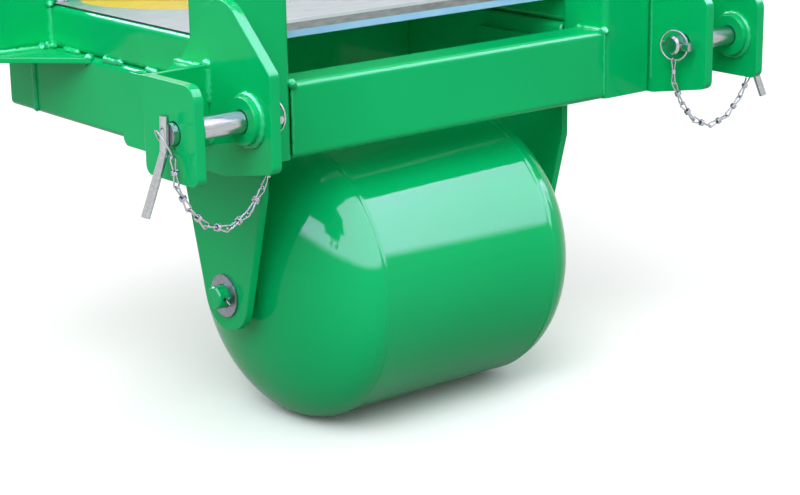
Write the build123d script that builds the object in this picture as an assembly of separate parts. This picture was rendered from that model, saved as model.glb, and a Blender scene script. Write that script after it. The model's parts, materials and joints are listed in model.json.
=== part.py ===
from build123d import *
import math
import os

os.makedirs("parts", exist_ok=True)

# Places are worked out from the lower hitch pins' line, at the middle of the frame's width:
# +X is one side, +Y runs back into the machine and +Z is up. The finished pieces are then
# moved so that the origin is the middle of the rear crossbeam's back face.

# Front beam between the uprights
beam_half_length = 278.0
beam_height = 100.0
beam_depth = 60.0
beam_top = 22.0
beam_front = 62.0
tube_wall = 5.0
tube_corner = 9.0

# Uprights of the mast
upright_width = 96.0
upright_depth = 90.0
upright_corner = 10.0
cap_thickness = 5.0
cap_clearance = 0.2

# Inner and outer hitch plates
inner_plate = 15.0
outer_plate = 14.0
plate_gap = 94.0
plate_front = 46.0
plate_corner = 12.0
inner_plate_foot = 80.0
inner_plate_foot_back = 58.0
inner_plate_shoulder = 61.0
inner_plate_peak = 162.0
inner_plate_peak_back = 61.0
inner_plate_peak_radius = 45.0
inner_plate_back = 297.0
inner_plate_top_back = 268.0
inner_plate_waist_back = 175.0
outer_plate_top = 62.0
outer_plate_foot = 60.0
outer_plate_back = 65.0
outer_plate_corner = 20.0

# Bosses, hitch pins and their handles
boss_radius = 30.0
boss_length = 12.0
pin_radius = 14.0
pin_clearance = 0.5
pin_inboard = 24.0
pin_outboard = 8.0
pin_chamfer = 3.0
handle_radius = 5.5
handle_rise = 24.0
handle_bend = 20.0
handle_drop = 97.0
handle_flare = 27.5
handle_bend_radius = 14.0
handle_sink = 0.6
left_handle_swing = 3.8
right_handle_swing = -8.4

# Linchpins through the hitch pins' inner ends
linchpin_radius = 4.5
linchpin_clearance = 0.4
linchpin_inset = 9.0
linchpin_overhang = 12.0
linchpin_head = 12.0
linchpin_head_gap = 4.0
linchpin_head_chamfer = 2.0
snap_ring_radius = 21.5
snap_ring_wire = 1.6
snap_ring_gap = 0.8

# Knotted chain from each linchpin to the handle
chain_wire = 1.25
chain_pitch = 36.0
chain_links = 8
chain_loop_half_width = 3.9
chain_hook_gap = 0.3
chain_first_slope = -90.0
chain_last_slope = 86.0
knot_radius = 5.0
knot_length = 5.5
knot_chamfer = 1.5
end_ring_radius = 20.0
end_ring_outboard = 8.6
end_ring_forward = 4.9
end_ring_drop = 10.1
end_ring_pull = (-0.30, -0.48, -0.83)
end_ring_side = (0.50, -0.82, 0.29)

# Spacer between the plates, behind the pin
spacer_thickness = 10.0
spacer_back = 84.0
spacer_top = 57.0
spacer_foot = 45.0
spacer_tie_reach = 75.0
spacer_tie_drop = 5.0
spacer_tie_gap = 8.0

# Side members of the frame
upper_member_inset = 6.0
upper_member_width = 80.0
upper_member_height = 60.0

# Rear crossbeam, which carries the piece
rear_beam_front = 505.0
rear_beam_depth = 120.0
rear_beam_height = 120.0
rear_beam_half_length = 600.0
rear_beam_wall = 6.0
rear_beam_corner = 12.0
gusset_leg = 115.0
gusset_thickness = 8.0
gusset_lap = 40.0

# Sheet cover between the side members
cover_sheet = 2.5
cover_lip = 22.0
cover_edge_inset = 5.0
cover_front_gap = 1.0

# Top link ears and pin
ear_thickness = 15.0
ear_gap = 54.0
ear_radius = 32.0
ear_hole_height = 600.0
mast_above_hole = 32.0
ear_hole_forward = -4.0
ear_foot_below = 60.0
ear_foot_above = 28.0
top_beam_height = 100.0
top_pin_radius = 12.7
top_pin_overhang = 26.0
top_pin_head_overhang = 8.0
top_pin_head = 6.0
top_pin_head_width = 26.0
top_pin_head_height = 62.0
top_pin_head_drop = 10.0
top_pin_head_corner = 12.0

# Support roller, its brackets and its axle
roller_radius = 200.0
roller_wall = 5.0
roller_side_gap = 17.0
roller_head_depth = 98.0
roller_back = 230.0
roller_drop = 298.0
roller_collar_gap = 1.5
roller_head_clearance = 0.1
hub_radius = 24.0
axle_radius = 16.0
running_clearance = 0.05
bracket_thickness = 12.0
bracket_half_width = 94.0
bracket_end_radius = 50.0
bracket_top = 0.0
bracket_taper_start = 140.0
washer_radius = 30.0
washer_thickness = 4.0
axle_overhang = 16.0
axle_chamfer = 2.0
split_pin_radius = 2.5
split_pin_reach = 9.0
split_pin_clearance = 0.2
split_pin_eye = 4.0

upright_outer = beam_half_length + upright_width
inner_face = upright_outer + inner_plate
outer_face = inner_face + plate_gap
side_outer = outer_face + outer_plate
upright_top = ear_hole_height + mast_above_hole
roller_straight = beam_half_length - bracket_thickness - roller_side_gap - roller_head_depth
beam_foot = beam_top - beam_height
upright_back = beam_front + upright_depth
upper_inner = upright_outer - upper_member_inset - upper_member_width
rear_face = rear_beam_front + rear_beam_depth
origin_height = beam_top + rear_beam_height / 2
to_origin = Pos(0, -rear_face, -origin_height)
sides = (("left", -1), ("right", 1))


def save(node, *solids):
    placed = [to_origin * solid for solid in solids]
    shape = placed[0] if len(placed) == 1 else Compound(children=placed)
    export_step(shape, f"parts/{node}.step")


def across(side, x, y=0.0, z=0.0):
    # A workplane whose normal points outward along X on that side
    return Plane(origin=(side * x, y, z), x_dir=(0, side, 0), z_dir=(side, 0, 0))


def plate(side, x, thickness, outline):
    # An upright plate from an outline drawn in Y and Z, its inner face at x
    wire = Plane.YZ.offset(side * x) * outline
    return extrude(wire, thickness, dir=(side, 0, 0))


def box_between(x0, x1, y0, y1, z0, z1):
    centre = ((x0 + x1) / 2, (y0 + y1) / 2, (z0 + z1) / 2)
    return Pos(*centre) * Box(abs(x1 - x0), abs(y1 - y0), abs(z1 - z0))


def tube(plane, width, height, wall, corner, length):
    section = RectangleRounded(width, height, corner)
    section -= RectangleRounded(width - 2 * wall, height - 2 * wall, max(corner - wall, 1.0))
    return extrude(plane * section, length)


def rod(start, end, radius):
    start, end = Vector(*start), Vector(*end)
    plane = Plane(origin=start, z_dir=end - start)
    return extrude(plane * Circle(radius), (end - start).length)


def ring(centre, normal, radius, wire):
    return Plane(origin=centre, z_dir=normal) * Torus(radius, wire)


def corner_rounded(points, radii):
    # A closed outline with one corner radius beside each point, none where it is 0
    face = make_face(Polyline(*points, close=True))
    for (y, z), radius in zip(points, radii):
        if radius:
            near = face.vertices().sort_by_distance((y, z, 0))[0]
            face = fillet(near, radius)
    return face


def cross_tube(half_length, top, front, depth, height, wall, corner):
    plane = Plane(origin=(-half_length, front + depth / 2, top - height / 2), x_dir=(0, 1, 0),
                  z_dir=(1, 0, 0))
    return tube(plane, depth, height, wall, corner, 2 * half_length)


def long_tube(side, inner, width, top, height, front, back):
    plane = Plane(origin=(side * (inner + width / 2), front, top - height / 2), x_dir=(1, 0, 0),
                  z_dir=(0, 1, 0))
    return tube(plane, width, height, tube_wall, tube_corner, back - front)


def frame_tubes():
    save("front_beam", cross_tube(beam_half_length, beam_top, beam_front, beam_depth, beam_height,
                                  tube_wall, tube_corner))
    save("top_beam", cross_tube(beam_half_length, upright_top, beam_front, beam_depth, top_beam_height,
                                tube_wall, tube_corner))
    save("lower_rear_beam", cross_tube(beam_half_length, beam_top, rear_beam_front, beam_depth,
                                       beam_height, tube_wall, tube_corner))
    save("rear_beam", cross_tube(rear_beam_half_length, beam_top + rear_beam_height, rear_beam_front,
                                 rear_beam_depth, rear_beam_height, rear_beam_wall, rear_beam_corner))
    for name, side in sides:
        plane = Plane.XY.offset(beam_foot) * Pos(side * (beam_half_length + upright_width / 2),
                                                 beam_front + upright_depth / 2)
        upright = tube(Plane(plane), upright_width, upright_depth, tube_wall, upright_corner,
                       upright_top - beam_foot)
        save(f"upright_{name}", upright)
        save(f"lower_member_{name}", long_tube(side, beam_half_length, upright_width, beam_top,
                                               beam_height, upright_back, rear_face))
        save(f"upper_member_{name}", long_tube(side, upper_inner, upper_member_width,
                                               beam_top + upper_member_height, upper_member_height,
                                               upright_back, rear_beam_front))


def end_caps():
    caps = []
    for name, side in sides:
        middle = side * (beam_half_length + upright_width / 2)
        top = Plane.XY.offset(upright_top) * Pos(middle, beam_front + upright_depth / 2)
        caps.append(extrude(Plane(top) * RectangleRounded(upright_width, upright_depth, upright_corner),
                            cap_thickness))
        around = 2 * (tube_wall + cap_clearance)
        inside = RectangleRounded(upright_width - around, beam_height - around, tube_corner - tube_wall)
        back = Plane(origin=(middle, rear_face - cap_thickness, beam_top - beam_height / 2),
                     x_dir=(1, 0, 0), z_dir=(0, 1, 0))
        caps.append(extrude(back * inside, cap_thickness))
        end = Plane(origin=(side * rear_beam_half_length, rear_beam_front + rear_beam_depth / 2,
                            beam_top + rear_beam_height / 2), x_dir=(0, 1, 0), z_dir=(side, 0, 0))
        caps.append(extrude(end * RectangleRounded(rear_beam_depth, rear_beam_height, rear_beam_corner),
                            cap_thickness))
    save("end_caps", *caps)


def inner_hitch_plate(side):
    # Outline in Y and Z: sloping front up to the peak, down to the side member, along it and back below
    points = [(-plate_front, -inner_plate_shoulder), (-plate_front, inner_plate_shoulder),
              (inner_plate_peak_back, inner_plate_peak), (inner_plate_waist_back, beam_top),
              (inner_plate_top_back, beam_top), (inner_plate_back, -inner_plate_foot),
              (inner_plate_foot_back, -inner_plate_foot)]
    radii = (plate_corner, plate_corner, inner_plate_peak_radius, 0, 0, plate_corner, 0)
    solid = plate(side, upright_outer, inner_plate, corner_rounded(points, radii))
    return solid - across(side, upright_outer) * Pos(0, 0, inner_plate / 2) * Cylinder(
        pin_radius + pin_clearance, 2 * inner_plate)


def outer_hitch_plate(side):
    points = [(-plate_front, -outer_plate_foot), (-plate_front, outer_plate_top),
              (outer_plate_back, outer_plate_top), (outer_plate_back, -outer_plate_foot)]
    radii = (plate_corner, outer_plate_corner, 0, plate_corner)
    solid = plate(side, outer_face, outer_plate, corner_rounded(points, radii))
    return solid - across(side, outer_face) * Pos(0, 0, outer_plate / 2) * Cylinder(
        pin_radius + pin_clearance, 2 * outer_plate)


def boss(side, x):
    section = Circle(boss_radius) - Circle(pin_radius + pin_clearance)
    return extrude(across(side, x) * section, boss_length)


def spacer(side):
    # A cross plate set a little askew, its top rising to the outer plate's, and the flat gusset
    # behind it that ties it back to the inner plate
    outer_back = outer_plate_back
    front = [(inner_face, spacer_back), (outer_face, outer_back - spacer_thickness)]
    back = [(outer_face, outer_back), (inner_face, spacer_back + spacer_thickness)]
    wall = make_face(Polyline(*[(side * x, y) for x, y in front + back], close=True))
    wall = extrude(Plane.XY.offset(-spacer_foot) * wall, outer_plate_top + spacer_foot)
    heights = [(inner_face, -spacer_foot), (outer_face, -spacer_foot), (outer_face, outer_plate_top),
               (inner_face, spacer_top)]
    side_view = make_face(Polyline(*[(side * x, z) for x, z in heights], close=True))
    wall &= extrude(Plane.XZ * side_view, -(spacer_back + spacer_thickness))
    askew = (spacer_back + spacer_thickness - outer_back) / plate_gap
    corners = [back[1], (outer_face - spacer_tie_gap, outer_back + askew * spacer_tie_gap),
               (inner_face, spacer_back + spacer_tie_reach)]
    tie = make_face(Polyline(*[(side * x, y) for x, y in corners], close=True))
    top = spacer_top - spacer_tie_drop
    tie = extrude(Plane.XY.offset(top - spacer_thickness) * tie, spacer_thickness)
    return wall + tie


def hitch_pin(side, swing):
    inner = upright_outer - pin_inboard
    outer = side_outer + pin_outboard
    shank = extrude(across(side, inner) * Circle(pin_radius), outer - inner)
    shank = chamfer(shank.edges().group_by(Axis.X)[0 if side > 0 else -1], pin_chamfer)
    hole_at = inner + linchpin_inset
    shank -= rod((side * hole_at, -2 * pin_radius, 0), (side * hole_at, 2 * pin_radius, 0),
                 linchpin_radius + linchpin_clearance)
    x = outer + handle_radius - handle_sink
    path = FilletPolyline((x, 0, handle_rise), (x, 0, -handle_bend), (x + handle_flare, 0, -handle_drop),
                          radius=handle_bend_radius)
    grip = sweep(Plane(origin=(x, 0, handle_rise), z_dir=(0, 0, -1)) * Circle(handle_radius), path=path)
    if side < 0:
        grip = mirror(grip, Plane.YZ)
    return shank + Rot(swing, 0, 0) * grip


def linchpin(side, x, pin_size, turned=False):
    # A short pin, its head block and a snap ring that leans over the end of the larger pin. It is
    # pushed in from the front, or from the back where it is turned.
    head_at = -pin_size - linchpin_head_gap
    shank = rod((side * x, head_at, 0), (side * x, pin_size + linchpin_overhang, 0), linchpin_radius)
    head = Pos(side * x, head_at - linchpin_head / 2, 0) * Box(linchpin_head, linchpin_head,
                                                               linchpin_head)
    head = chamfer(head.edges().filter_by(Axis.Y), linchpin_head_chamfer)
    lean = linchpin_inset + snap_ring_gap + snap_ring_wire
    back = head_at - linchpin_head / 2 + math.sqrt(4 * snap_ring_radius ** 2 - lean ** 2)
    start = Vector(side * x, head_at - linchpin_head / 2, 0)
    end = Vector(side * (x - lean), back, 0)
    centre = (start + end) / 2
    normal = (end - start).cross(Vector(0, 0, 1))
    locking = shank + head + ring(centre, normal, snap_ring_radius, snap_ring_wire)
    if turned:
        locking = mirror(locking, Plane.XZ)
        centre = Vector(centre.X, -centre.Y, centre.Z)
    return locking, centre


def hanging_slopes(span, rise, count):
    # Slope of each link of an evenly loaded chain between two points a span apart
    def slopes(steep, middle):
        return [math.atan(steep * (k - middle)) for k in range(count)]

    low, high = -1.0, float(count)
    for _ in range(50):
        middle = (low + high) / 2
        slack, tight = 20.0, 0.0
        for _ in range(50):
            steep = (slack + tight) / 2
            reach = sum(chain_pitch * math.cos(a) for a in slopes(steep, middle))
            slack, tight = (slack, steep) if reach > span else (steep, tight)
        climb = sum(chain_pitch * math.sin(a) for a in slopes(steep, middle))
        low, high = (middle, high) if climb > rise else (low, middle)
    return slopes(steep, middle)


def chain_loop(direction, flat):
    # Half of a link: two wires from the knot and the round bend that closes them
    reach = chain_pitch / 2 + chain_wire + chain_hook_gap / 2 - chain_loop_half_width
    half = chain_loop_half_width
    path = Line((0, half), (reach, half)) + ThreePointArc((reach, half), (reach + half, 0),
                                                          (reach, -half)) + Line((reach, -half), (0, -half))
    path = Wire(path.edges()) if direction > 0 else mirror(Wire(path.edges()), Plane.YZ)
    start = Plane(origin=(0, half, 0), z_dir=(direction, 0, 0))
    loop = sweep(start * Circle(chain_wire), path=path)
    return loop if flat else Rot(90, 0, 0) * loop


def chain_link(twisted):
    knot = Rot(0, 90, 0) * Cylinder(knot_radius, knot_length)
    knot = chamfer(knot.edges(), knot_chamfer)
    return chain_loop(-1, True) + chain_loop(1, not twisted) + knot


def hooked(wire):
    # From a link's hooking point to the middle of a round wire that its bend rests on
    return wire + chain_hook_gap


def chain(start, start_wire, end, end_wire):
    flat = Vector(end.X - start.X, end.Y - start.Y, 0)
    along = flat.normalized()
    sideways = along.cross(Vector(0, 0, 1))

    def step(slope):
        return along * math.cos(slope) + Vector(0, 0, math.sin(slope))

    first, last = math.radians(chain_first_slope), math.radians(chain_last_slope)
    point = start - step(first) * hooked(start_wire)
    goal = end + step(last) * (hooked(end_wire) - chain_pitch)
    hung = goal - point - step(first) * chain_pitch
    reach = hung.dot(along)
    slopes = [first] + hanging_slopes(reach, hung.Z, chain_links - 2) + [last]
    links = []
    for k, slope in enumerate(slopes):
        middle = point + step(slope) * (chain_pitch / 2)
        plane = Plane(origin=middle, x_dir=step(slope), z_dir=sideways)
        links.append(plane * chain_link(twisted=k < chain_links - 1))
        point = point + step(slope) * chain_pitch
    return links


def hitch_ends():
    # Each side's handle hangs at its own angle about the pin
    swings = {"left": left_handle_swing, "right": right_handle_swing}
    for name, side in sides:
        save(f"hitch_plate_inner_{name}", inner_hitch_plate(side))
        save(f"hitch_plate_outer_{name}", outer_hitch_plate(side))
        save(f"hitch_bosses_{name}", boss(side, inner_face), boss(side, outer_face - boss_length))
        save(f"hitch_spacer_{name}", spacer(side))
        save(f"hitch_pin_{name}", hitch_pin(side, swings[name]))
        pin_end = upright_outer - pin_inboard
        locking, ring_centre = linchpin(side, pin_end + linchpin_inset, pin_radius, side < 0)
        save(f"linchpin_{name}", locking)
        # The end ring goes round the handle and hangs towards the chain's pull
        end_centre = Vector(side * (side_outer + pin_outboard + end_ring_outboard), -end_ring_forward,
                            -end_ring_drop)
        pull = Vector(side * end_ring_pull[0], *end_ring_pull[1:]).normalized()
        sideways = Vector(side * end_ring_side[0], *end_ring_side[1:])
        end_ring = ring(end_centre, pull.cross(sideways), end_ring_radius, chain_wire)
        start = ring_centre + Vector(0, 0, -snap_ring_radius)
        end = end_centre + pull * end_ring_radius
        links = chain(start, snap_ring_wire, end, chain_wire)
        save(f"chain_{name}", end_ring, *links)


def top_link():
    ears = []
    hole = (ear_hole_forward, ear_hole_height)
    foot = (ear_hole_height - ear_foot_below, ear_hole_height + ear_foot_above)
    outline = make_hull(Edge.make_circle(ear_radius, Plane(origin=(*hole, 0))).edges()
                        + Edge.make_line((beam_front, foot[0], 0), (beam_front, foot[1], 0)).edges())
    for side in (-1, 1):
        ear = plate(side, ear_gap / 2, ear_thickness, outline)
        ear -= across(side, ear_gap / 2, hole[0], hole[1]) * Cylinder(top_pin_radius + pin_clearance,
                                                                     4 * ear_thickness)
        ears.append(ear)
    save("top_link_ears", *ears)
    side_reach = ear_gap / 2 + ear_thickness
    reach = side_reach + top_pin_overhang
    head_at = side_reach + top_pin_head_overhang
    pin = extrude(across(1, -reach, 0, 0) * Circle(top_pin_radius), reach + head_at)
    pin = chamfer(pin.edges().group_by(Axis.X)[0], pin_chamfer)
    pin -= rod((linchpin_inset - reach, -2 * top_pin_radius, 0),
               (linchpin_inset - reach, 2 * top_pin_radius, 0), linchpin_radius + linchpin_clearance)
    head = Pos(head_at + top_pin_head / 2, 0, -top_pin_head_drop) * Box(
        top_pin_head, top_pin_head_width, top_pin_head_height)
    head = fillet(head.edges().filter_by(Axis.X), top_pin_head_corner)
    save("top_link_pin", Pos(0, *hole) * (pin + head))
    locking, _ = linchpin(-1, reach - linchpin_inset, top_pin_radius)
    save("top_linchpin", Pos(0, *hole) * locking)


def gussets():
    plates = []
    for name, side in sides:
        under = rear_beam_front + gusset_lap
        corners = [(upright_outer, rear_beam_front - gusset_leg), (upright_outer, under),
                   (upright_outer + gusset_leg, under), (upright_outer + gusset_leg, rear_beam_front)]
        face = make_face(Polyline(*[(side * x, y) for x, y in corners], close=True))
        plates.append(extrude(Plane.XY.offset(beam_top - gusset_thickness) * face, gusset_thickness))
    save("corner_gussets", *plates)


def cover():
    half = upright_outer - upper_member_inset - cover_edge_inset
    top = beam_top + upper_member_height
    front = upright_back + cover_front_gap
    sheet = box_between(-half, half, front, rear_beam_front, top, top + cover_sheet)
    opening = upper_inner - cover_front_gap
    lip = box_between(-opening, opening, front, front + cover_sheet, top - cover_lip, top)
    save("cover_sheet", sheet + lip)


def roller():
    axis = Pos(0, roller_back, -roller_drop) * Rot(0, 90, 0)
    shell = Cylinder(roller_radius, 2 * roller_straight)
    shell -= Cylinder(roller_radius - roller_wall, 2 * roller_straight)
    save("roller_shell", axis * shell)
    for name, side in sides:
        # Half of an ellipse turned about the axle line, less a thinner one inside
        heads = []
        for inset in (0.0, roller_wall):
            radius, depth = roller_radius - inset, roller_head_depth - inset
            arc = EllipticalCenterArc((0, 0), radius, depth, 0, arc_size=90)
            face = make_face(arc + Line((0, depth), (0, 0)) + Line((0, 0), (radius, 0)))
            heads.append(revolve(Plane.XZ * face, Axis.Z))
        head = heads[0] - heads[1] - Cylinder(
            hub_radius + roller_head_clearance, 4 * roller_head_depth)
        turn = Rot(0, 90, 0) if side > 0 else Rot(0, -90, 0)
        save(f"roller_head_{name}", Pos(0, roller_back, -roller_drop) * turn * Pos(0, 0, roller_straight)
             * head)
    hub_half = beam_half_length - bracket_thickness - roller_collar_gap
    hub = Cylinder(hub_radius, 2 * hub_half) - Cylinder(axle_radius + running_clearance, 2 * hub_half)
    save("roller_hub", axis * hub)


def axle():
    end = beam_half_length + washer_thickness + axle_overhang
    turned = Pos(0, roller_back, -roller_drop)
    bar = Rot(0, 90, 0) * Cylinder(axle_radius, 2 * end)
    bar = chamfer(bar.edges().filter_by(GeomType.CIRCLE), axle_chamfer)
    washers = []
    cotters = []
    for name, side in sides:
        section = Circle(washer_radius) - Circle(axle_radius + pin_clearance)
        face = across(side, beam_half_length, roller_back, -roller_drop)
        washers.append(extrude(face * section, washer_thickness))
        x = side * (end - axle_overhang / 2)
        half = axle_radius + split_pin_reach
        bar -= rod((x, -half, 0), (x, half, 0), split_pin_radius + split_pin_clearance)
        eye = ring((x, -half, 0), (1, 0, 0), split_pin_eye, split_pin_radius / 2)
        cotters.append(turned * (rod((x, -half, 0), (x, half, 0), split_pin_radius) + eye))
    save("roller_axle", turned * bar)
    save("axle_washers", *washers)
    save("split_pins", *cotters)


def roller_brackets():
    end = (roller_back, -roller_drop)
    circle = Edge.make_circle(bracket_end_radius, Plane(origin=(*end, 0)))
    for name, side in sides:
        top = Edge.make_line((roller_back - bracket_half_width, -bracket_taper_start, 0),
                             (roller_back + bracket_half_width, -bracket_taper_start, 0))
        outline = make_hull(circle.edges() + top.edges())
        outline += Pos(roller_back, -(bracket_taper_start - bracket_top) / 2) * Rectangle(
            2 * bracket_half_width, bracket_taper_start - bracket_top)
        solid = plate(side, beam_half_length - bracket_thickness, bracket_thickness, outline)
        solid -= across(side, beam_half_length, roller_back, -roller_drop) * Cylinder(
            axle_radius + pin_clearance, 4 * bracket_thickness)
        save(f"roller_bracket_{name}", solid)


frame_tubes()
end_caps()
hitch_ends()
top_link()
gussets()
cover()
roller()
axle()
roller_brackets()
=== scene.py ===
import json
import math
import random

import bmesh
import bpy
from mathutils import Matrix, Vector


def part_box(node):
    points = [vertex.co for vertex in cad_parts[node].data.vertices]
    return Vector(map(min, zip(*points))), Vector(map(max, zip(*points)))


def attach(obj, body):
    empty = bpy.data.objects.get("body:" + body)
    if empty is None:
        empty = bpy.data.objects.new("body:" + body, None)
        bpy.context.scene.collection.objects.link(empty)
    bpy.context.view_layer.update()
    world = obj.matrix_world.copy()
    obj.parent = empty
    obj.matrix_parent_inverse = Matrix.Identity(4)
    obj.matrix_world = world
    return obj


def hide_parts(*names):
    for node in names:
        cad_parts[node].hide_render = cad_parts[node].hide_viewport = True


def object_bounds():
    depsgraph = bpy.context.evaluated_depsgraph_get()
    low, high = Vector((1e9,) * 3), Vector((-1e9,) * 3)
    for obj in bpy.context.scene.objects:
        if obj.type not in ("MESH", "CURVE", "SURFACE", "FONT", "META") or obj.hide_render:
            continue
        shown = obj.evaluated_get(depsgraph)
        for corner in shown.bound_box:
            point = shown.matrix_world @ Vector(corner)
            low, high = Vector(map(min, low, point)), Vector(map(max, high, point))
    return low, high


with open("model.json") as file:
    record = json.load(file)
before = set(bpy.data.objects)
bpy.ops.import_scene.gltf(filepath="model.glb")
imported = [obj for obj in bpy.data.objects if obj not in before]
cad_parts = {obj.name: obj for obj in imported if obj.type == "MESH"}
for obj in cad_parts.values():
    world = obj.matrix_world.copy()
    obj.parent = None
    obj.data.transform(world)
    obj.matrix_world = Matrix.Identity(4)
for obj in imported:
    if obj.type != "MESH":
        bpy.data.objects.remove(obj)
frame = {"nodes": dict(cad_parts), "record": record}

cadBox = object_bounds()
nodes = frame["nodes"]
scene = bpy.context.scene
random.seed(11)

# The front beam's box gives the line of the lower hitch pins, which the sizes below start from
beamLow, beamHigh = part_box("front_beam")
pinLine = {"behindBeamFront": 0.062, "belowBeamTop": 0.022}
pinOrigin = Vector((0, beamLow.y - pinLine["behindBeamFront"], beamHigh.z - pinLine["belowBeamTop"]))


def at(x, y, z):  # millimetres from the pins' line, at mid width
    return pinOrigin + Vector((x, y, z)) / 1000


sides = (("left", -1), ("right", 1))


# Camera and studio

cameraSettings = {"fromPins": (-1743.4, -1954.05, 512.06), "yaw": 39.09, "down": 15.89, "roll": -0.84,
                  "lens": 89.98, "sensor": 36.0, "farthest": 200}


def makeCamera():
    yaw, down, roll = (math.radians(cameraSettings[k]) for k in ("yaw", "down", "roll"))
    ahead = Vector((math.sin(yaw) * math.cos(down), math.cos(yaw) * math.cos(down), -math.sin(down)))
    level = Vector((math.cos(yaw), -math.sin(yaw), 0))
    upright = level.cross(ahead)
    right = level * math.cos(roll) + upright * math.sin(roll)
    up = upright * math.cos(roll) - level * math.sin(roll)
    data = bpy.data.cameras.new("camera")
    data.lens = cameraSettings["lens"]
    data.sensor_width = cameraSettings["sensor"]
    data.clip_end = cameraSettings["farthest"]
    camera = bpy.data.objects.new("camera", data)
    turn = Matrix((right, up, -ahead)).transposed().to_4x4()
    camera.matrix_world = Matrix.Translation(at(*cameraSettings["fromPins"])) @ turn
    scene.collection.objects.link(camera)
    scene.camera = camera


studio = {
    "worldLight": 0.95, "floorSize": 60,
    # the floor as the camera sees it, as reflections show it, and as it lights the object
    "floorShown": (1.0, 1.0, 1.0), "floorReflected": (0.74, 0.74, 0.74), "floorBounce": (0.2, 0.205, 0.21),
    "skyFrom": -178, "skyTo": 86, "skyTop": 70.0, "skyDistance": 6.0, "skyApart": 0.3, "skyRows": 12,
    "skySteps": 48, "skyGlow": (0.62, 0.56, 1.0),
    # for each kind of piece: strength, and where the sky starts above the horizon and is at its full
    "skies": {"roller": (29, 12.5, 17.0), "frame": (34, 25.5, 32.0), "metal": (1.7, 27.0, 35.0)},
    "keyBearing": -45, "keyHeight": 44, "keyDistance": 7.0, "keySize": 4.5, "keyPower": 310,
}


def bearing(angle, height, distance):  # 0 looks out to the front, 90 to the +X side
    a, h = math.radians(angle), math.radians(height)
    return Vector((math.sin(a) * math.cos(h), -math.cos(a) * math.cos(h), math.sin(h))) * distance


def rayMix(tree, rays, shown, other):
    # shown for these rays, such as the camera's, and other for the rest
    path = tree.nodes.new("ShaderNodeLightPath")
    share = path.outputs[rays[0]]
    for ray in rays[1:]:
        either = tree.nodes.new("ShaderNodeMath")
        either.operation = "MAXIMUM"
        tree.links.new(share, either.inputs[0])
        tree.links.new(path.outputs[ray], either.inputs[1])
        share = either.outputs[0]
    mix = tree.nodes.new("ShaderNodeMixShader")
    tree.links.new(share, mix.inputs["Fac"])
    tree.links.new(other.outputs[0], mix.inputs[1])
    tree.links.new(shown.outputs[0], mix.inputs[2])
    return mix


def skyBand(centre, distance, foot):
    # Part of a dome, spun from one column of points
    def build(bm):
        rise = (studio["skyTop"] - foot) / studio["skyRows"]
        column = [bm.verts.new(centre + bearing(studio["skyFrom"], foot + rise * k, distance))
                  for k in range(studio["skyRows"] + 1)]
        edges = [bm.edges.new(pair) for pair in zip(column, column[1:])]
        bmesh.ops.spin(bm, geom=column + edges, cent=centre, axis=(0, 0, 1), dvec=(0, 0, 0),
                       steps=studio["skySteps"], use_duplicate=False,
                       angle=math.radians(studio["skyTo"] - studio["skyFrom"]))
    return build


def skyGlow(name, height, distance, strength, foot, full):
    # Fades in above the horizon, and lets through what it doesn't light
    material = bpy.data.materials.new(name)
    material.use_nodes = True
    tree = material.node_tree
    tree.nodes.remove(tree.nodes["Principled BSDF"])
    glow = tree.nodes.new("ShaderNodeEmission")
    glow.inputs["Color"].default_value = (*studio["skyGlow"], 1)
    place = tree.nodes.new("ShaderNodeTexCoord")
    split = tree.nodes.new("ShaderNodeSeparateXYZ")
    tree.links.new(place.outputs["Object"], split.inputs[0])
    low, high = (height + distance * math.sin(math.radians(angle)) for angle in (foot, full))
    tree.links.new(spread(tree, split.outputs["Z"], 0, strength, low, high), glow.inputs["Strength"])
    clear = tree.nodes.new("ShaderNodeBsdfTransparent")
    both = tree.nodes.new("ShaderNodeAddShader")
    tree.links.new(glow.outputs[0], both.inputs[0])
    tree.links.new(clear.outputs[0], both.inputs[1])
    tree.links.new(both.outputs[0], tree.nodes["Material Output"].inputs["Surface"])
    return material


mirrored = ("Is Glossy Ray", "Is Transmission Ray")


def makeWorld():
    world = bpy.data.worlds.new("world")
    world.use_nodes = True
    scene.world = world
    tree = world.node_tree
    lighting = tree.nodes["Background"]
    lighting.inputs["Color"].default_value = (1, 1, 1, 1)
    lighting.inputs["Strength"].default_value = studio["worldLight"]
    shown = tree.nodes.new("ShaderNodeBackground")
    shown.inputs["Color"].default_value = (1, 1, 1, 1)
    shown.inputs["Strength"].default_value = 1
    mix = rayMix(tree, ("Is Camera Ray", *mirrored), shown, lighting)
    tree.links.new(mix.outputs[0], tree.nodes["World Output"].inputs["Surface"])


def makeFloor():
    material = bpy.data.materials.new("floor")
    material.use_nodes = True
    tree = material.node_tree
    tree.nodes.remove(tree.nodes["Principled BSDF"])
    faces = []
    for colour in (studio["floorShown"], studio["floorReflected"], studio["floorBounce"]):
        diffuse = tree.nodes.new("ShaderNodeBsdfDiffuse")
        diffuse.inputs["Color"].default_value = (*colour, 1)
        faces.append(diffuse)
    mix = rayMix(tree, ("Is Camera Ray",), faces[0], rayMix(tree, mirrored, faces[1], faces[2]))
    tree.links.new(mix.outputs[0], tree.nodes["Material Output"].inputs["Surface"])
    floor = newObject("floor", lambda bm: bmesh.ops.create_grid(
        bm, x_segments=1, y_segments=1, size=studio["floorSize"] / 2,
        matrix=Matrix.Translation((0, 0, cadBox[0].z))), material)


def makeSkies(roller):
    # Soft bands of sky that only reflections show, one for each kind of piece
    for k, (name, (strength, foot, full)) in enumerate(studio["skies"].items()):
        distance = studio["skyDistance"] + studio["skyApart"] * k
        sky = newObject(f"sky_{name}", skyBand(roller, distance, foot),
                        skyGlow(f"sky_{name}", roller.z, distance, strength, foot, full))
        for flag in ("visible_camera", "visible_diffuse", "visible_transmission", "visible_shadow"):
            setattr(sky, flag, False)
        sky.light_linking.receiver_collection = receivers[name]


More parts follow.
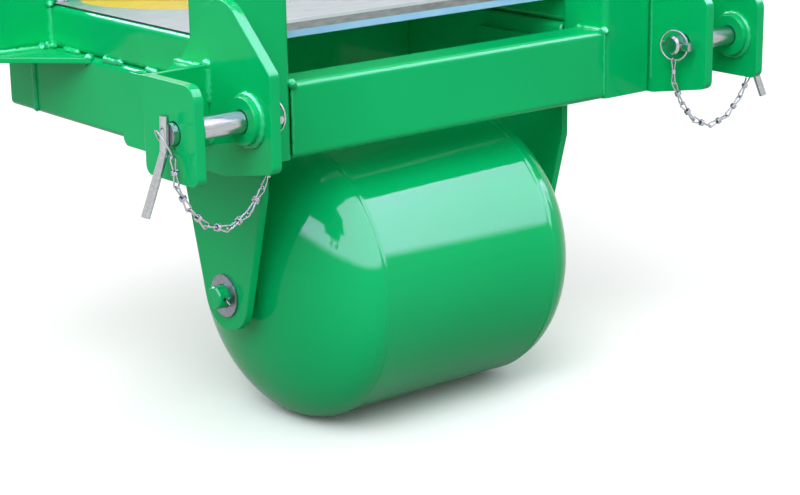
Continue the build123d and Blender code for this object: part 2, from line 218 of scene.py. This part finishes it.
def makeKey(roller):
    light = bpy.data.lights.new("key", "AREA")
    light.size = studio["keySize"]
    light.energy = studio["keyPower"]
    lamp = bpy.data.objects.new("key", light)
    lamp.location = bearing(studio["keyBearing"], studio["keyHeight"], studio["keyDistance"])
    lamp.rotation_euler = (roller - lamp.location).to_track_quat("-Z", "Y").to_euler()
    lamp.visible_glossy = False
    scene.collection.objects.link(lamp)


def makeStudio():
    makeWorld()
    makeFloor()
    low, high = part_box("roller_shell")
    roller = (low + high) / 2
    makeSkies(roller)
    makeKey(roller)


# Meshes

receivers = {name: bpy.data.collections.new(f"lit_{name}") for name in studio["skies"]}
kinds = {"rollerPaint": "roller", "framePaint": "frame", "weldPaint": "frame"}


def lit(piece, finish):
    receivers[kinds.get(finish, "metal")].objects.link(piece)


def newObject(name, build, material, smooth=False):
    mesh = bpy.data.meshes.new(name)
    bm = bmesh.new()
    build(bm)
    bm.to_mesh(mesh)
    bm.free()
    return newPiece(name, mesh, material, smooth)


def newPiece(name, mesh, material, smooth=True):
    mesh.materials.clear()
    mesh.materials.append(material)
    for face in mesh.polygons:
        face.use_smooth = smooth
    piece = bpy.data.objects.new(name, mesh)
    scene.collection.objects.link(piece)
    return piece


def wireMesh(routes, radius, sides=8, cyclic=False):
    # Each route is a list of (point, share of the radius); all become tubes of one mesh
    curve = bpy.data.curves.new("wire", "CURVE")
    curve.dimensions = "3D"
    curve.bevel_depth = radius
    curve.bevel_resolution = max(0, (sides - 4) // 2)
    curve.use_fill_caps = True
    for route in routes:
        spline = curve.splines.new("POLY")
        spline.points.add(len(route) - 1)
        spline.use_cyclic_u = cyclic
        for point, (place, share) in zip(spline.points, route):
            point.co = (*place, 1)
            point.radius = share
    holder = bpy.data.objects.new("wire", curve)
    mesh = bpy.data.meshes.new_from_object(holder)
    bpy.data.objects.remove(holder)
    bpy.data.curves.remove(curve)
    return mesh


def joined(meshes):
    bm = bmesh.new()
    for mesh in meshes:
        bm.from_mesh(mesh)
        bpy.data.meshes.remove(mesh)
    whole = bpy.data.meshes.new("joined")
    bm.to_mesh(whole)
    bm.free()
    return whole


# Finishes

def newFinish(name):
    material = bpy.data.materials.new(name)
    material.use_nodes = True
    shader = material.node_tree.nodes["Principled BSDF"]
    place = material.node_tree.nodes.new("ShaderNodeTexCoord")
    return material, material.node_tree, shader, place.outputs["Object"]


def noise(tree, place, scale, detail=3.0, stretch=(1, 1, 1)):
    mapping = tree.nodes.new("ShaderNodeMapping")
    mapping.inputs["Scale"].default_value = stretch
    tree.links.new(place, mapping.inputs["Vector"])
    texture = tree.nodes.new("ShaderNodeTexNoise")
    texture.inputs["Scale"].default_value = scale
    texture.inputs["Detail"].default_value = detail
    tree.links.new(mapping.outputs["Vector"], texture.inputs["Vector"])
    return texture.outputs["Fac"]


def spread(tree, value, low, high, start=0.3, end=0.7):
    span = tree.nodes.new("ShaderNodeMapRange")
    for socket, number in zip(("From Min", "From Max", "To Min", "To Max"), (start, end, low, high)):
        span.inputs[socket].default_value = number
    tree.links.new(value, span.inputs["Value"])
    return span.outputs["Result"]


def mixed(tree, share, first, second):
    mix = tree.nodes.new("ShaderNodeMix")
    mix.data_type = "RGBA"
    tree.links.new(share, mix.inputs["Factor"])
    for socket, colour in ((mix.inputs["A"], first), (mix.inputs["B"], second)):
        if isinstance(colour, tuple):
            socket.default_value = (*colour, 1)
        else:
            tree.links.new(colour, socket)
    return mix.outputs["Result"]


def bumped(tree, height, depth, strength, under=None):
    bump = tree.nodes.new("ShaderNodeBump")
    bump.inputs["Distance"].default_value = depth
    bump.inputs["Strength"].default_value = strength
    tree.links.new(height, bump.inputs["Height"])
    if under is not None:
        tree.links.new(under, bump.inputs["Normal"])
    return bump.outputs["Normal"]


paints = {
    # name: colour, deeper tone, roughness low and high, specular, peel scale and depth, share of specks
    "framePaint": ((0.002, 0.5, 0.15), (0.001, 0.45, 0.13), 0.07, 0.13, 0.09, 260, 0.00008, 0.79),
    "rollerPaint": ((0.002, 0.5, 0.155), (0.001, 0.45, 0.132), 0.05, 0.09, 0.12, 130, 0.00005, 0.82),
    # the welds' green is painted lighter than the frame's, a painted highlight for the glints on the beads
    "weldPaint": ((0.02, 0.56, 0.22), (0.008, 0.46, 0.15), 0.14, 0.26, 0.2, 700, 0.0007, 0.8),
}
# Scales of the tone clouds, the gloss and the specks. The waves are this much wider and deeper than the peel
paintGrain = {"clouds": 4.0, "gloss": 9.0, "wider": 12, "deeper": 6, "peelBump": 0.5, "waveBump": 0.4,
              "specks": 650, "speckColour": (0.3, 0.72, 0.48), "speckEdge": 0.03}
bandSettings = {"ridges": 75, "around": 7, "detail": 4.0, "depth": 0.0016,
                "inner": 0.146, "outer": 0.196, "rise": 0.008, "fall": 0.03}


def makePaint(name):
    colour, deeper, smoothest, roughest, specular, peel, depth, speckShare = paints[name]
    grain = paintGrain
    material, tree, shader, place = newFinish(name)
    clouds = spread(tree, noise(tree, place, grain["clouds"], 2.0), 0, 1)
    tone = mixed(tree, clouds, colour, deeper)
    specks = spread(tree, noise(tree, place, grain["specks"], 1.0), 0, 1, speckShare,
                    speckShare + grain["speckEdge"])
    tree.links.new(mixed(tree, specks, tone, grain["speckColour"]), shader.inputs["Base Color"])
    gloss = noise(tree, place, grain["gloss"])
    tree.links.new(spread(tree, gloss, smoothest, roughest), shader.inputs["Roughness"])
    shader.inputs["Specular IOR Level"].default_value = specular
    normal = bumped(tree, noise(tree, place, peel, 2.0), depth, grain["peelBump"])
    waves = noise(tree, place, peel / grain["wider"], 1.0)
    normal = bumped(tree, waves, depth * grain["deeper"], grain["waveBump"], normal)
    if name == "rollerPaint":
        normal = bumped(tree, weldBand(tree, place), bandSettings["depth"], 1.0, normal)
    tree.links.new(normal, shader.inputs["Normal"])
    return material


def weldBand(tree, place):
    # Brushed ridges round the roller, only beside the seams of its heads
    s = bandSettings
    split = tree.nodes.new("ShaderNodeSeparateXYZ")
    tree.links.new(place, split.inputs[0])
    outward = tree.nodes.new("ShaderNodeMath")
    outward.operation = "ABSOLUTE"
    tree.links.new(split.outputs["X"], outward.inputs[0])
    starts = spread(tree, outward.outputs[0], 0, 1, s["inner"], s["inner"] + s["rise"])
    ends = spread(tree, outward.outputs[0], 1, 0, s["outer"] - s["fall"], s["outer"])
    height = noise(tree, place, 1.0, s["detail"], (s["ridges"], s["around"], s["around"]))
    for mask in (starts, ends):
        product = tree.nodes.new("ShaderNodeMath")
        product.operation = "MULTIPLY"
        tree.links.new(height, product.inputs[0])
        tree.links.new(mask, product.inputs[1])
        height = product.outputs[0]
    return height


metals = {
    # name: colour, duller tone, roughness low and high, grain scale, stretch of the grain, depth
    "zinc": ((0.57, 0.58, 0.6), (0.43, 0.44, 0.46), 0.16, 0.25, 90, (1, 6, 6), 0.00006),
    "chainZinc": ((0.55, 0.56, 0.58), (0.4, 0.41, 0.43), 0.12, 0.22, 300, (1, 1, 1), 0.00005),
    "sheetMetal": ((0.65, 0.68, 0.7), (0.58, 0.61, 0.63), 0.38, 0.48, 22, (1, 3, 3), 0.0001),
    "lipSteel": ((0.34, 0.35, 0.36), (0.24, 0.25, 0.26), 0.3, 0.4, 60, (1, 1, 3), 0.0001),
    "washerSteel": ((0.3, 0.3, 0.34), (0.23, 0.23, 0.27), 0.28, 0.42, 160, (1, 1, 1), 0.00008),
}
metalGrain = {"finer": 2.3, "bump": 0.5}


def makeMetal(name):
    colour, duller, smoothest, roughest, scale, stretch, depth = metals[name]
    material, tree, shader, place = newFinish(name)
    shader.inputs["Metallic"].default_value = 1
    grain = noise(tree, place, scale, stretch=stretch)
    tree.links.new(mixed(tree, spread(tree, grain, 0, 1), colour, duller), shader.inputs["Base Color"])
    fine = noise(tree, place, scale * metalGrain["finer"], 2.0)
    tree.links.new(spread(tree, fine, smoothest, roughest), shader.inputs["Roughness"])
    tree.links.new(bumped(tree, grain, depth, metalGrain["bump"]), shader.inputs["Normal"])
    return material


plains = {
    # name: colour, second tone, roughness, cloud scale, bump depth
    "labelYellow": ((0.86, 0.58, 0.06), (0.8, 0.51, 0.04), 0.35, 60, 0.00005),
    "filmBlue": ((0.3, 0.55, 0.9), (0.38, 0.62, 0.92), 0.22, 30, 0.0002),
    # painted shadow: the black of the strips under the cover's side edges
    "shadowLineBlack": ((0.012, 0.014, 0.016), (0.02, 0.022, 0.024), 0.6, 200, 0.0002),
}
plainGrain = {"coarser": 3, "smoother": 0.85, "rougher": 1.15, "bump": 0.4}  # shares of each one's own


def makePlain(name):
    colour, second, roughness, scale, depth = plains[name]
    material, tree, shader, place = newFinish(name)
    clouds = noise(tree, place, scale, 2.0)
    tree.links.new(mixed(tree, spread(tree, clouds, 0, 1), colour, second), shader.inputs["Base Color"])
    coarse = noise(tree, place, scale / plainGrain["coarser"], 2.0)
    gloss = spread(tree, coarse, roughness * plainGrain["smoother"], roughness * plainGrain["rougher"])
    tree.links.new(gloss, shader.inputs["Roughness"])
    tree.links.new(bumped(tree, clouds, depth, plainGrain["bump"]), shader.inputs["Normal"])
    return material


print("finishes")
finishes = {name: makePaint(name) for name in paints}
finishes.update({name: makeMetal(name) for name in metals})
finishes.update({name: makePlain(name) for name in plains})


# Frame pieces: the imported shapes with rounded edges

edgeSettings = {"merge": 1e-6, "flat": 0.3, "sharp": 32, "segments": 2, "flatness": 60}
# The record's slot, with its finish and the width of its rounded edges
slotFinish = {"frame_paint": ("framePaint", 0.0013), "axle_paint": ("rollerPaint", 0.0008),
              "zinc": ("zinc", 0.0005), "cover_sheet": ("sheetMetal", 0.0006)}
ownFinish = {"axle_washers": "washerSteel"}
modelledApart = ("chain_left", "chain_right", "split_pins")


def softenEdges(piece, width):
    bevel = piece.modifiers.new("edges", "BEVEL")
    bevel.width = width
    bevel.segments = edgeSettings["segments"]
    bevel.limit_method = "ANGLE"
    bevel.angle_limit = math.radians(edgeSettings["sharp"])
    normals = piece.modifiers.new("normals", "WEIGHTED_NORMAL")
    normals.weight = edgeSettings["flatness"]


def mergedCopy(node):
    bm = bmesh.new()
    bm.from_mesh(nodes[node].data)
    bmesh.ops.remove_doubles(bm, verts=bm.verts[:], dist=edgeSettings["merge"])
    return bm


def dressNode(node, body, slotName):
    finish, width = slotFinish[slotName]
    bm = mergedCopy(node)
    bmesh.ops.dissolve_limit(bm, angle_limit=math.radians(edgeSettings["flat"]), verts=bm.verts[:],
                             edges=bm.edges[:], delimit={"NORMAL"})
    mesh = bpy.data.meshes.new(node + ".finished")
    bm.to_mesh(mesh)
    bm.free()
    finish = ownFinish.get(node, finish)
    piece = newPiece(node + ".finished", mesh, finishes[finish])
    softenEdges(piece, width)
    lit(piece, finish)
    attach(piece, body)
    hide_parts(node)


def dressFrame():
    for row in frame["record"]["subparts"]:
        node, slotName = row["node"], row["material_slot"]
        if node in modelledApart or slotName == "roller_paint":
            continue
        dressNode(node, "frame", slotName)


# Roller: a turned barrel with domed heads and a bead at each seam

rollerSettings = {"steps": 224, "arcSteps": 26, "seamDepth": 0.0009, "seamWidth": 0.0022, "bead": 0.0007,
                  "beadWidth": 0.007, "holeGap": 0.0004}


def rollerOutline(radius, straight, headDepth, hole):
    # (along the axle, out from it) for the half on the +X side, from mid width to the hub hole
    s = rollerSettings
    outline = [(0.0, radius), (straight - s["beadWidth"], radius),
               (straight - s["beadWidth"] / 2, radius + s["bead"]),
               (straight - s["seamWidth"], radius + s["bead"] / 2),
               (straight, radius - s["seamDepth"]), (straight + s["seamWidth"], radius + s["bead"] / 2),
               (straight + s["beadWidth"] / 2, radius + s["bead"])]
    last = math.asin(hole / radius)
    first = math.acos(s["beadWidth"] / headDepth)
    for k in range(s["arcSteps"] + 1):
        angle = first + (last - first) * k / s["arcSteps"]
        outline.append((straight + headDepth * math.cos(angle), radius * math.sin(angle)))
    return outline


def makeRoller():
    low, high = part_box("roller_shell")
    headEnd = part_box("roller_head_right")[1].x
    hubLow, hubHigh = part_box("roller_hub")
    middle = (low + high) / 2
    radius, straight = (high.z - low.z) / 2, high.x
    hole = (hubHigh.z - hubLow.z) / 2 + rollerSettings["holeGap"]
    depth = (headEnd - straight) / math.sqrt(1 - (hole / radius) ** 2)
    half = rollerOutline(radius, straight, depth, hole)
    outline = half + [(-x, r) for x, r in reversed(half[1:])]

    def build(bm):
        ring = [bm.verts.new(middle + Vector((x, 0, r))) for x, r in outline]
        edges = [bm.edges.new(pair) for pair in zip(ring, ring[1:] + ring[:1])]
        bmesh.ops.spin(bm, geom=ring + edges, cent=middle, axis=(1, 0, 0), dvec=(0, 0, 0),
                       angle=2 * math.pi, steps=rollerSettings["steps"], use_merge=True,
                       use_duplicate=False)
        bmesh.ops.recalc_face_normals(bm, faces=bm.faces[:])

    barrel = newObject("roller_barrel", build, finishes["rollerPaint"], smooth=True)
    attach(barrel, "roller")
    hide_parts("roller_shell", "roller_head_left", "roller_head_right")
    lit(barrel, "rollerPaint")
    hub = nodes["roller_hub"]
    hub.data.materials.clear()
    hub.data.materials.append(finishes["rollerPaint"])
    lit(hub, "rollerPaint")


# Chains: each packed link gives its place, and a wound link of round wire takes it

linkSettings = {"wire": 0.00125, "halfWidth": 0.0039, "pitch": 0.036, "gap": 0.0003, "knotTurns": 2.6,
                "knotRadius": 0.0037, "knotLength": 0.0052, "knotCore": 0.35, "bendSteps": 10,
                "knotSteps": 40, "ringSteps": 40, "ringShare": 0.25, "wireSides": 10}


def islands(bm):
    # The points of each separate solid
    left = set(bm.verts)
    while left:
        found, waiting = set(), [left.pop()]
        while waiting:
            vert = waiting.pop()
            found.add(vert)
            for edge in vert.link_edges:
                other = edge.other_vert(vert)
                if other in left:
                    left.discard(other)
                    waiting.append(other)
        yield [v.co.copy() for v in found]


def longAxis(points):
    # Looking twice for the farthest point is enough, because a link is long and thin
    far = max(points, key=lambda p: (p - points[0]).length)
    other = max(points, key=lambda p: (p - far).length)
    return (other - far).normalized(), (far + other) / 2, (other - far).length


def loopRoute(direction, flat):
    s = linkSettings
    reach = s["pitch"] / 2 + s["wire"] + s["gap"] / 2 - s["halfWidth"]
    across = Vector((0, 1, 0)) if flat else Vector((0, 0, 1))
    start = s["knotRadius"] * s["knotCore"]
    route = [Vector((0, 0, 0)) + across * start]
    for k in range(s["bendSteps"] + 1):
        angle = math.pi / 2 - math.pi * k / s["bendSteps"]
        route.append(Vector((direction * (reach + s["halfWidth"] * math.cos(angle)), 0, 0))
                     + across * s["halfWidth"] * math.sin(angle))
    route.append(-across * start)
    return [(p, 1) for p in route]


def knotRoute():
    s = linkSettings
    route = []
    for k in range(s["knotSteps"] + 1):
        share = k / s["knotSteps"]
        turn = 2 * math.pi * s["knotTurns"] * share
        route.append((Vector((s["knotLength"] * (share - 0.5), s["knotRadius"] * math.cos(turn),
                              s["knotRadius"] * math.sin(turn))), 1))
    return route


def chainParts(node):
    # Links and rings apart, each as its long axis, middle, length and points
    bm = mergedCopy(node)
    links, rings = [], []
    for points in islands(bm):
        direction, middle, length = longAxis(points)
        centre = sum(points, Vector()) / len(points)
        across = direction.orthogonal().normalized()
        width = max(abs((p - centre).dot(way)) for p in points for way in (across, direction.cross(across)))
        found = rings if width > length * linkSettings["ringShare"] else links
        found.append((direction, middle, length, points))
    bm.free()
    return links, rings


def linkMesh(direction, middle, sideways, last):
    direction = (direction - sideways * direction.dot(sideways)).normalized()
    turn = Matrix((direction, sideways.cross(direction), sideways)).transposed().to_4x4()
    mesh = wireMesh([loopRoute(-1, True), loopRoute(1, last), knotRoute()], linkSettings["wire"],
                    linkSettings["wireSides"])
    mesh.transform(Matrix.Translation(middle) @ turn)
    return mesh


def ringMesh(direction, length, points):
    s = linkSettings
    radius = length / 2 - s["wire"]
    centre = sum(points, Vector()) / len(points)
    rim = max(points, key=lambda p: abs((p - centre).dot(direction.orthogonal())))
    second = direction.cross(rim - centre).normalized().cross(direction)
    route = []
    for k in range(s["ringSteps"]):
        angle = 2 * math.pi * k / s["ringSteps"]
        route.append((centre + radius * (direction * math.cos(angle) + second * math.sin(angle)), 1))
    return wireMesh([route], s["wire"], s["wireSides"], cyclic=True)


def makeChain(name, side):
    node = f"chain_{name}"
    links, rings = chainParts(node)
    links.sort(key=lambda row: side * row[1].x)
    span = links[-1][1] - links[0][1]
    along = Vector((span.x, span.y, 0)).normalized()
    sideways = along.cross(Vector((0, 0, 1)))
    meshes = []
    for k, (direction, middle, _, _) in enumerate(links):
        if direction.dot(along) < 0:
            direction = -direction
        meshes.append(linkMesh(direction, middle, sideways, k == len(links) - 1))
    for direction, _, length, points in rings:
        meshes.append(ringMesh(direction, length, points))
    piece = newPiece(node + ".links", joined(meshes), finishes["chainZinc"])
    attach(piece, "frame")
    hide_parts(node)
    lit(piece, "chainZinc")


# Split pins: two short legs spread in front of the axle and a round eye behind it

splitSettings = {"wire": 0.00125, "fromEnd": 0.00325, "halfGap": 0.0013125, "legs": 0.0272, "bend": 0.0185,
                 "spreadOut": 0.0042, "eye": 0.0036, "eyeBack": 0.0205, "neck": 0.00612, "eyeTurn": 145,
                 "eyeSteps": 8}


def makeSplitPins():
    low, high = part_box("split_pins")
    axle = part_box("roller_axle")
    centre = (axle[0] + axle[1]) / 2
    s = splitSettings
    routes = []
    for _, side in sides:
        x = side * ((high.x - low.x) / 2 - s["fromEnd"])
        for half in (-1, 1):
            places = [(-s["legs"], s["spreadOut"] + s["wire"]), (-s["bend"], s["halfGap"]),
                      (s["eyeBack"] - s["neck"], s["halfGap"])]
            for k in range(s["eyeSteps"] + 1):
                angle = math.radians(s["eyeTurn"] * (1 - k / s["eyeSteps"]))
                places.append((s["eyeBack"] + s["eye"] * math.cos(angle), s["eye"] * math.sin(angle)))
            routes.append([(Vector((x, centre.y + y, centre.z + half * z)), 1) for y, z in places])
    piece = newPiece("split_pins.bent", wireMesh(routes, s["wire"]), finishes["chainZinc"])
    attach(piece, "frame")
    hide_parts("split_pins")
    lit(piece, "chainZinc")


# Weld beads

beadSettings = {"broad": 0.0044, "plain": 0.0036, "fine": 0.0018, "step": 0.0046, "shortStep": 0.6,
                "ripple": 0.26, "calmest": 0.3, "endShare": 0.6, "wander": 0.0006,
                "blob": 0.0062, "blobStep": 0.45, "blobWander": 0.3, "blobShares": (0.5, 0.95, 1.1, 0.9, 0.5),
                "collarStep": 0.005, "collarRadius": 0.031, "collarOff": 0.0008}
# Bead, with its start and end in millimetres from the pins' line, on the +X side
weldRuns = (
    ("fine", (278, 62, -72), (278, 62, 19)),        # front beam to upright, front
    ("plain", (278, 63, 21.5), (278, 121, 21.5)),   # front beam to upright, top
    ("plain", (278, 61.5, 534), (278, 61.5, 630)),  # top beam, front and back
    ("plain", (278, 121.5, 534), (278, 121.5, 630)),
    ("plain", (278, 122.5, -76), (278, 122.5, 21)),  # front beam, back
    ("fine", (374, 61.5, -60), (374, 61.5, 140)),   # inner plate to upright
    ("broad", (374.5, 153, 22), (374.5, 153, 58)),
    ("broad", (389.5, 83, 10), (389.5, 83, 56)),    # spacer to inner plate
    ("broad", (389.5, 83, -44), (389.5, 83, -22)),
    ("broad", (482.5, 54, -44), (482.5, 54, 59)),   # spacer to outer plate
    ("plain", (390, 98, 52.5), (390, 157, 52.5)),   # spacer's tie along the plate
    ("broad", (374, 550, -76), (374, 550, 12)),     # butt weld of the lower member
    ("broad", (368, 504.5, 22), (368, 504.5, 80)),  # upper member to rear crossbeam
    ("broad", (376, 504, 23), (486, 504, 23)),      # gusset to rear crossbeam
    ("plain", (374.5, 402, 13), (374.5, 545, 13)),  # gusset along the lower member
    ("plain", (278, 152.5, -76), (278, 152.5, 20)),  # lower member to upright
    ("plain", (292, 152.5, 22.5), (366, 152.5, 22.5)),
    ("plain", (279, 140, -79), (279, 322, -79)),    # roller bracket along the lower member
    ("plain", (265.5, 152, -79), (265.5, 308, -79)),
    ("broad", (369, 430, 23.5), (369, 470, 23.5)),  # stitches between the side members
    ("broad", (369, 318, 23.5), (369, 365, 23.5)),
    ("broad", (369, 230, 23.5), (369, 260, 23.5)),
    ("plain", (300, 504, 22.5), (360, 504, 22.5)),
    ("plain", (27, 61.5, 550), (27, 61.5, 628)),    # top link ears
    ("plain", (42.5, 61.5, 550), (42.5, 61.5, 628)),
)
weldEnds = ((389, 84, 57), (278.5, 64, 20.5), (374.5, 398, 20), (369, 502, 82), (370, 500, 25),
            (377, 501, 25), (388, 502, 24.5))
bossFaces = ((389.3, 1), (482.7, -1))  # where each boss meets its plate, and which way it stands


def rippled(k):
    return 1 + beadSettings["ripple"] * (1 if k % 2 else -1) * random.uniform(beadSettings["calmest"], 1)


def beadRoute(start, end, size):
    # Points along the seam in small steps, each with its share of the bead's radius
    s = beadSettings
    step = s["step"] * (s["shortStep"] + (1 - s["shortStep"]) * size / s["broad"])
    count = max(3, int((end - start).length / step))
    route = []
    for k in range(count + 1):
        wander = Vector([random.uniform(-1, 1) * s["wander"] for _ in range(3)])
        share = rippled(k) * (s["endShare"] if k in (0, count) else 1)
        route.append((start + (end - start) * k / count + wander, share))
    return route


def collarRoute(centre, outward):
    s = beadSettings
    radius = s["collarRadius"]
    count = int(2 * math.pi * radius / s["collarStep"])
    route = []
    for k in range(count):
        angle = 2 * math.pi * k / count
        place = centre + Vector((outward, radius * math.cos(angle), radius * math.sin(angle)))
        route.append((place, rippled(k)))
    return route


def blobRoute(place, size):
    # A short thick run of weld that ends a seam
    s = beadSettings
    route = []
    for k, share in enumerate(s["blobShares"]):
        wander = Vector([random.uniform(-1, 1) * size * s["blobWander"] for _ in range(3)])
        along = (k - len(s["blobShares"]) // 2) * size * s["blobStep"]
        route.append((place + wander + Vector((0, along, 0)), share))
    return route


def makeWelds():
    s = beadSettings
    beads = {"broad": [], "plain": [], "fine": [], "blob": []}
    for _, side in sides:
        for width, start, end in weldRuns:
            ends = [at(side * x, y, z) for x, y, z in (start, end)]
            beads[width].append(beadRoute(*ends, s[width]))
        for x, y, z in weldEnds:
            beads["blob"].append(blobRoute(at(side * x, y, z), s["blob"]))
    seams = newPiece("weld_beads", joined([wireMesh(routes, s[width]) for width, routes in beads.items()]),
                     finishes["weldPaint"])
    collars = [collarRoute(at(side * x, 0, 0), side * way * s["collarOff"])
               for _, side in sides for x, way in bossFaces]
    around = newPiece("weld_collars", wireMesh(collars, s["broad"], cyclic=True), finishes["weldPaint"])
    for piece in (seams, around):
        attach(piece, "frame")
        lit(piece, "weldPaint")


# Cover sheet: its blank label, film strip, a black strip painted as the shadow under each side edge, and
# bolts

coverSettings = {"labelMiddle": (-256, 404), "labelHalf": (112, 62), "labelTurn": -55.3, "labelThick": 0.35,
                 "labelSides": 96, "lipInset": 2, "lipIn": 1,
                 # the black strips painted as the shadow under the cover's side edges: out, in, front, back,
                 # below the top, height, rounded edge
                 "shadowLineOut": 0.9, "shadowLineIn": 6, "shadowLineFront": 3, "shadowLineBack": 1, "shadowLineBelow": 2.4,
                 "shadowLineHigh": 1.2, "shadowLineEdge": 0.2}
# Strips on the cover's front lip: piece, finish, foot and top, thickness, rounded edge
lipStrips = (("cover_film", "filmBlue", 60.5, 69.5, 0.25, 0.1),
             ("cover_band", "lipSteel", 69.5, 79.5, 0.15, 0.05))
boltSettings = {"places": ((-357, 494), (357, 494))}
# Washer, then head: sides, radius, foot, height, rounded edge
boltRounds = ((32, 11, 0, 1.6, 0.3), (6, 8.5, 1.6, 6.5, 0.8))


def roundEdges(bm, edges, width):  # millimetres
    bmesh.ops.bevel(bm, geom=list(edges), offset=width / 1000, affect="EDGES",
                    segments=edgeSettings["segments"], profile=0.5, material=-1)


def slab(bm, low, high, edge):
    # Between two corners, with its edges rounded
    made = bmesh.ops.create_cube(bm, size=1, matrix=Matrix.Translation((low + high) / 2)
                                 @ Matrix.Diagonal((*(high - low), 1)))
    roundEdges(bm, {e for v in made["verts"] for e in v.link_edges}, edge)


def makeLabel(top):
    s = coverSettings
    oval = (Matrix.Translation(at(*s["labelMiddle"], top))
            @ Matrix.Rotation(math.radians(s["labelTurn"]), 4, "Z")
            @ Matrix.Diagonal((s["labelHalf"][0] / 1000, s["labelHalf"][1] / 1000, 1, 1)))

    def build(bm):
        bmesh.ops.create_circle(bm, cap_ends=True, segments=s["labelSides"], radius=1, matrix=oval)
        raised = bmesh.ops.extrude_face_region(bm, geom=bm.faces[:])
        bmesh.ops.translate(bm, vec=(0, 0, s["labelThick"] / 1000),
                            verts=[v for v in raised["geom"] if isinstance(v, bmesh.types.BMVert)])
        bmesh.ops.recalc_face_normals(bm, faces=bm.faces[:])

    return newObject("cover_label", build, finishes["labelYellow"])


def makeStrip(name, finish, foot, top, thick, edge, front):
    s = coverSettings
    half = (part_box("upper_member_right")[0].x - pinOrigin.x) * 1000 - s["lipInset"]
    return newObject(name, lambda bm: slab(bm, at(-half, front - thick, foot),
                                           at(half, front + s["lipIn"], top), edge), finishes[finish])


# A black strip under each side edge of the cover, painted as the shadow in the gap beneath the sheet
def makeShadowLine(half, front, back, top):
    s = coverSettings
    foot = top - s["shadowLineBelow"]

    def build(bm):
        for _, side in sides:
            edges = sorted((side * (half - s["shadowLineIn"]), side * (half + s["shadowLineOut"])))
            slab(bm, at(edges[0], front + s["shadowLineFront"], foot),
                 at(edges[1], back - s["shadowLineBack"], foot + s["shadowLineHigh"]), s["shadowLineEdge"])

    return newObject("cover_shadow_line", build, finishes["shadowLineBlack"])


def makeBolts(top):
    def build(bm):
        for x, y in boltSettings["places"]:
            for segments, radius, foot, height, edge in boltRounds:
                made = bmesh.ops.create_cone(
                    bm, cap_ends=True, segments=segments, radius1=radius / 1000, radius2=radius / 1000,
                    depth=height / 1000, matrix=Matrix.Translation(at(x, y, top + foot + height / 2)))
                rims = {e for v in made["verts"] for e in v.link_edges
                        if abs(e.verts[0].co.z - e.verts[1].co.z) < edgeSettings["merge"]}
                roundEdges(bm, rims, edge)

    return newObject("cover_bolts", build, finishes["zinc"])


def makeCoverTrim():
    low, high = ((corner - pinOrigin) * 1000 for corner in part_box("cover_sheet"))
    label = makeLabel(high.z)
    film, band = (makeStrip(*strip, low.y) for strip in lipStrips)
    shadowLine = makeShadowLine(high.x, low.y, high.y, high.z)
    heads = makeBolts(high.z)
    for piece in (label, film, band, shadowLine, heads):
        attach(piece, "frame")
        lit(piece, "metal")


print("camera and studio")
makeCamera()
makeStudio()
print("frame pieces")
dressFrame()
print("roller")
makeRoller()
print("chains")
for name, side in sides:
    makeChain(name, side)
makeSplitPins()
print("welds")
makeWelds()
print("cover")
makeCoverTrim()

scene.view_settings.view_transform = "Standard"
